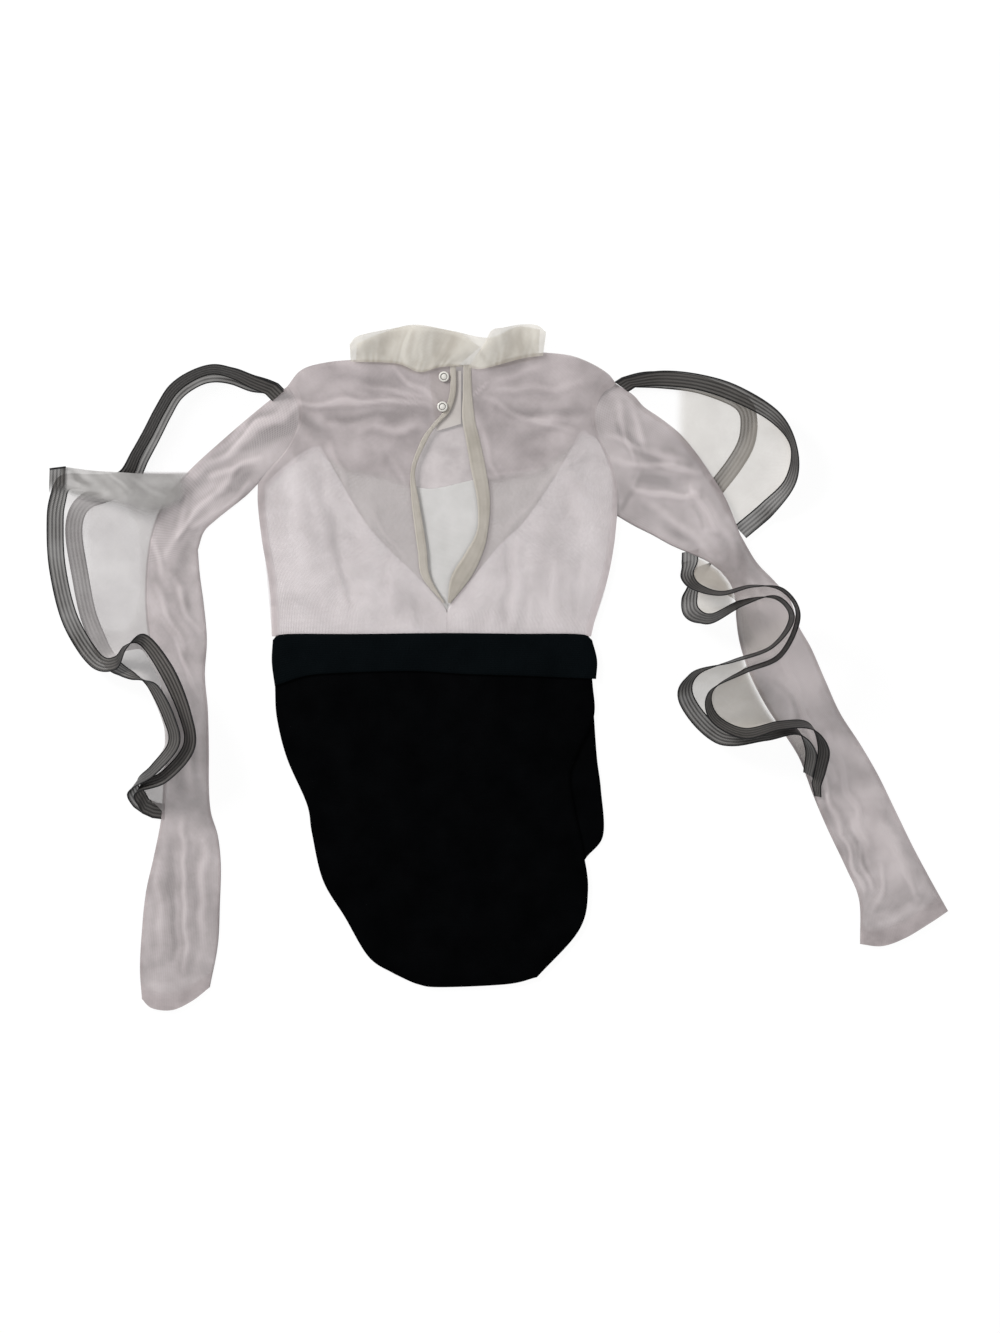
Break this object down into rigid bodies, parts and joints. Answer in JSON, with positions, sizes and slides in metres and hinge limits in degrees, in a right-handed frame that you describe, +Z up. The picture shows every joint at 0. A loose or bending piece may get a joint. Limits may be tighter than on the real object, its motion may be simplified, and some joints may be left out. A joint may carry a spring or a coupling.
{
  "type": "leotard",
  "caption": "Long-sleeved leotard laid flat on its front, with sheer mesh yoke and sleeves, ruffled collar, back keyhole opening, waistband and wavy braid-edged sleeve flounces.",
  "frame": {"origin": "middle of the garment's outline at table height", "axes": "+X towards the cuff of the wearer's right sleeve, +Y towards the collar, +Z up from the table towards the back of the garment"},
  "size_m": [0.8998, 0.6854, 0.0729],
  "materials": {
    "mesh": "matte",
    "lining": "matte",
    "binding": "satin",
    "ruffle": "matte",
    "button": "gloss",
    "knit": "matte",
    "band": "matte",
    "braid": "satin"
  },
  "bodies": {
    "root": {"front_mesh": "mesh", "back_mesh_left": "mesh", "back_mesh_right": "mesh", "front_lining": "lining", "back_lining_left": "lining", "back_lining_right": "lining", "binding_left": "binding", "binding_right": "binding", "button_tab": "binding", "button_upper": "button", "button_lower": "button", "collar_front": "ruffle", "collar_back_left": "ruffle", "collar_back_right": "ruffle", "waistband_front": "band", "waistband_back": "band", "brief_front": "knit", "brief_back": "knit", "sleeve_front_left": "mesh", "sleeve_back_left": "mesh", "sleeve_front_right": "mesh", "sleeve_back_right": "mesh", "flounce_left_over": "mesh", "flounce_left_under": "mesh", "flounce_right_over_arc": "mesh", "flounce_right_under_arc": "mesh", "flounce_right_over_wave": "mesh", "flounce_right_under_wave": "mesh", "braid_left_over": "braid", "braid_left_under": "braid", "braid_right_over_arc": "braid", "braid_right_under_arc": "braid", "braid_right_over_wave": "braid", "braid_right_under_wave": "braid"}
  },
  "joints": []
}
